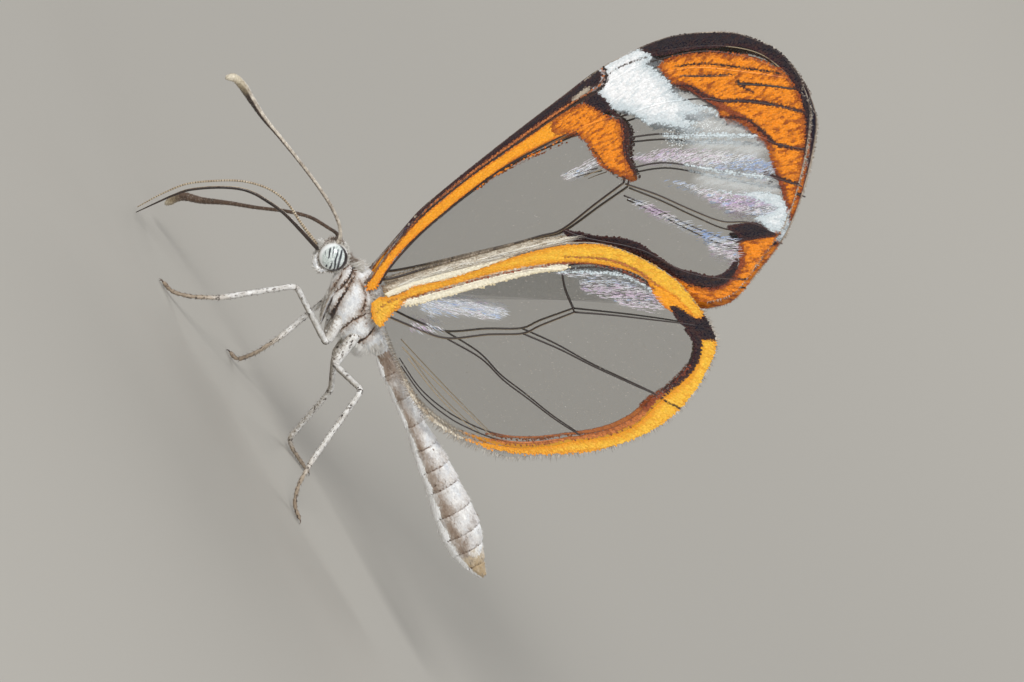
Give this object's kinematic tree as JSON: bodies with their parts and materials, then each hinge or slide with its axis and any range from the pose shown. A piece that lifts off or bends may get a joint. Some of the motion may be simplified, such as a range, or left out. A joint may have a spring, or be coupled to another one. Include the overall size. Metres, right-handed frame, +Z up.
{
  "type": "glasswing butterfly",
  "caption": "Life-size glasswing butterfly standing on its feet with clear, orange-edged wings closed over its back, feelers forward and sucking tube let down.",
  "frame": {"origin": "on the floor, under the middle of the bounding box", "axes": "+X from the head to the tail, +Z up from the floor along the closed wings, and the butterfly's left side at -Y"},
  "size_m": [0.036, 0.0133, 0.0397],
  "materials": {
    "white_body_scales": "white scales with dark speckles over chitin, matt",
    "grey_scales": "grey and brown scales, matt",
    "brown_chitin": "dark brown chitin, slightly glossy",
    "tan_chitin": "tan chitin, slightly glossy",
    "eye_cornea": "pale green cornea with dark stripes, glossy",
    "wing_membrane": "clear membrane with veins and coloured scales, glossy"
  },
  "bodies": {
    "root": {"abdomen_base": "grey_scales", "abdomen_middle": "grey_scales", "abdomen_tip": "grey_scales", "antenna_club_left": "brown_chitin", "antenna_club_right": "brown_chitin", "antenna_left": "brown_chitin", "antenna_right": "brown_chitin", "collar": "grey_scales", "eye_left": "eye_cornea", "eye_right": "eye_cornea", "foreleg_left": "grey_scales", "foreleg_right": "grey_scales", "forewing_left": "wing_membrane", "forewing_right": "wing_membrane", "head": "white_body_scales", "hindleg_coxa_left": "white_body_scales", "hindleg_coxa_right": "white_body_scales", "hindleg_femur_left": "white_body_scales", "hindleg_femur_right": "white_body_scales", "hindleg_tarsus_left": "tan_chitin", "hindleg_tarsus_right": "tan_chitin", "hindleg_tibia_left": "white_body_scales", "hindleg_tibia_right": "white_body_scales", "hindwing_left": "wing_membrane", "hindwing_right": "wing_membrane", "midleg_coxa_left": "white_body_scales", "midleg_coxa_right": "white_body_scales", "midleg_femur_left": "white_body_scales", "midleg_femur_right": "white_body_scales", "midleg_tarsus_left": "tan_chitin", "midleg_tarsus_right": "tan_chitin", "midleg_tibia_left": "white_body_scales", "midleg_tibia_right": "white_body_scales", "palp_left": "white_body_scales", "palp_right": "white_body_scales", "proboscis_arch_left": "brown_chitin", "proboscis_arch_right": "brown_chitin", "proboscis_base_left": "brown_chitin", "proboscis_base_right": "brown_chitin", "proboscis_tip_left": "brown_chitin", "proboscis_tip_right": "brown_chitin", "thorax": "white_body_scales"}
  },
  "joints": []
}
